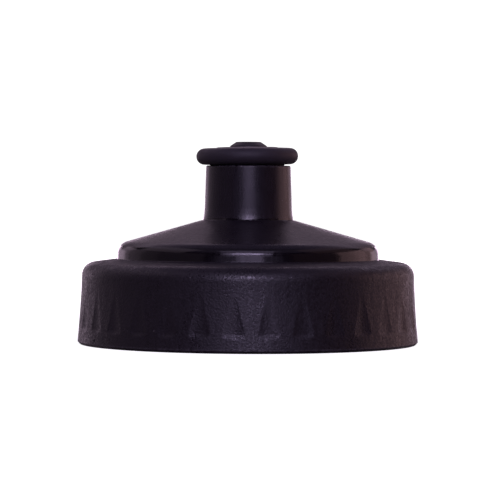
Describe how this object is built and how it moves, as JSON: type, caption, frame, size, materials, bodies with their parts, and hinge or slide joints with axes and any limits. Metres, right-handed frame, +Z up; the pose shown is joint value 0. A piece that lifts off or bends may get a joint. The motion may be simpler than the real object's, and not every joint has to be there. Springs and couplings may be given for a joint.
{
  "type": "push-pull drinking cap",
  "caption": "Wide-mouth sports-bottle screw cap: ribbed flaring skirt, stepped cone, central chimney and a push-pull drinking nozzle that slides over a sealing plug.",
  "frame": {"origin": "centre of the skirt's bottom rim, on the plane that the cap stands on", "axes": "+Z up along the axis of the neck, the chimney and the nozzle; -Y faces the camera of the picture"},
  "size_m": [0.07, 0.07, 0.0415],
  "materials": {
    "cap_plastic": "black moulded, fine-grained skirt and satin cone",
    "plug_plastic": "black moulded, smooth",
    "nozzle_plastic": "black, soft satin",
    "gasket_rubber": "dark grey, dull"
  },
  "bodies": {
    "cap": {"screw_cap": "cap_plastic", "sealing_gasket": "gasket_rubber", "centre_plug": "plug_plastic"},
    "nozzle": {"drinking_nozzle": "nozzle_plastic"}
  },
  "joints": [
    {"name": "nozzle_slide", "type": "slide", "parent": "cap", "child": "nozzle", "axis": [0, 0, 1], "range_m": [0, 0.007]}
  ]
}
